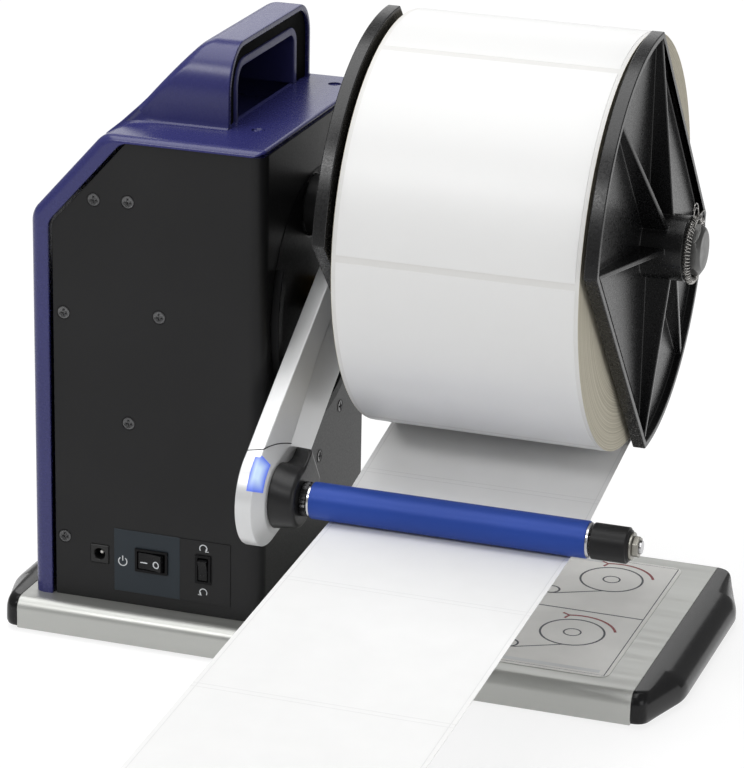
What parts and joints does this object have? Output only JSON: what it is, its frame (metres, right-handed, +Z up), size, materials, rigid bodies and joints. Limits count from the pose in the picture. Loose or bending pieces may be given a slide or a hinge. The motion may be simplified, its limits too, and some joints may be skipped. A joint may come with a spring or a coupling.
{
  "type": "label rewinder",
  "caption": "Bench label rewinder: a motor tower on a flat base winds a label web between ribbed flanges on a hexagonal spindle, with a sprung tension arm and roller.",
  "frame": {"origin": "under the middle of the base plate, on the underside of its middle rubber strip", "axes": "+X along the base to the free end of the spindle, +Y to the rear, +Z up"},
  "size_m": [0.334, 0.5389, 0.3006],
  "materials": {
    "aluminium": "satin anodised",
    "black_gloss": "gloss",
    "black_satin": "satin",
    "black_sheet": "satin powder coat",
    "black_screw": "black oxide",
    "blue_cover": "satin moulded",
    "blue_liner": "matt moulded",
    "blue_roller": "blue anodised",
    "rubber": "matt",
    "guide": "printed film",
    "grey_print": "printed film",
    "black_print": "printed film",
    "steel": "bright",
    "dark_metal": "dark grey",
    "chrome": "polished",
    "brass": "turned",
    "motor": "plain",
    "board": "solder resist",
    "sensor": "moulded",
    "gear": "moulded",
    "flange": "satin moulded",
    "silver": "silver paint",
    "light": "clear lens",
    "card": "cardboard",
    "paper": "coated paper"
  },
  "bodies": {
    "stand": {"base_plate": "aluminium", "left_end_cap": "black_gloss", "right_end_cap": "black_gloss", "rubber_strips": "rubber", "threading_guide": "guide", "front_cover": "black_sheet", "rear_panel": "black_sheet", "side_cover": "blue_cover", "carry_handle": "blue_cover", "grip_liner": "blue_liner", "panel_bracket": "steel", "chassis": "steel", "chassis_screws": "steel", "panel_screws": "black_screw", "cover_screws": "black_screw", "spindle_bearings": "steel", "drive_motor": "motor", "circuit_board": "board", "pivot_disc": "black_satin", "pivot_bush": "brass", "arm_spring": "steel", "angle_sensor": "sensor", "switch_overlay": "grey_print", "selector_overlay": "black_print", "power_socket": "black_satin", "power_switch": "black_satin", "selector_switch": "black_satin", "label_web": "paper"},
    "spindle": {"spindle_axle": "steel", "drive_gear": "gear", "spindle_collar": "black_satin", "spindle_bar": "dark_metal", "core_holder": "black_satin", "inner_flange": "flange", "core_tube": "card", "label_roll": "paper"},
    "pinion": {"motor_pinion": "brass"},
    "loose_flange": {"outer_flange": "flange", "flange_clip": "chrome"},
    "arm": {"arm_shell": "silver", "arm_back": "silver", "arm_light": "light", "pivot_shaft": "steel", "hub_cover": "black_satin", "roller_shaft": "steel", "end_sleeve": "black_satin", "end_washer": "chrome", "end_nut": "chrome"},
    "roller": {"roller_tube": "blue_roller", "roller_bushes": "steel"},
    "power_key": {"power_rocker": "black_gloss"},
    "selector_key": {"selector_rocker": "black_gloss"}
  },
  "joints": [
    {"name": "spindle_spin", "type": "hinge", "parent": "stand", "child": "spindle", "pos_m": [0, -0.0045, 0.2026], "axis": [1, 0, 0], "continuous": true},
    {"name": "motor_spin", "type": "hinge", "parent": "stand", "child": "pinion", "pos_m": [0, -0.042, 0.2026], "axis": [1, 0, 0], "continuous": true},
    {"name": "flange_slide", "type": "slide", "parent": "spindle", "child": "loose_flange", "axis": [1, 0, 0], "range_m": [0, 0.025]},
    {"name": "arm_swing", "type": "hinge", "parent": "stand", "child": "arm", "pos_m": [0, 0.0015, 0.158], "axis": [-1, 0, 0], "range_deg": [-30, 35], "stiffness_Nm_per_rad": 1, "springref_deg": 8.37, "deforming": ["label_web"]},
    {"name": "roller_spin", "type": "hinge", "parent": "arm", "child": "roller", "pos_m": [0, -0.09489, 0.09347], "axis": [1, 0, 0], "continuous": true},
    {"name": "power_rock", "type": "hinge", "parent": "stand", "child": "power_key", "pos_m": [-0.0864, -0.068, 0.0403], "axis": [0, 0, 1], "range_deg": [0, 16]},
    {"name": "selector_rock", "type": "hinge", "parent": "stand", "child": "selector_key", "pos_m": [-0.0604, -0.068, 0.0403], "axis": [-1, 0, 0], "range_deg": [0, 16]}
  ],
  "couplings": [
    {"joint": "motor_spin", "follows": "spindle_spin", "ratio": -4}
  ]
}
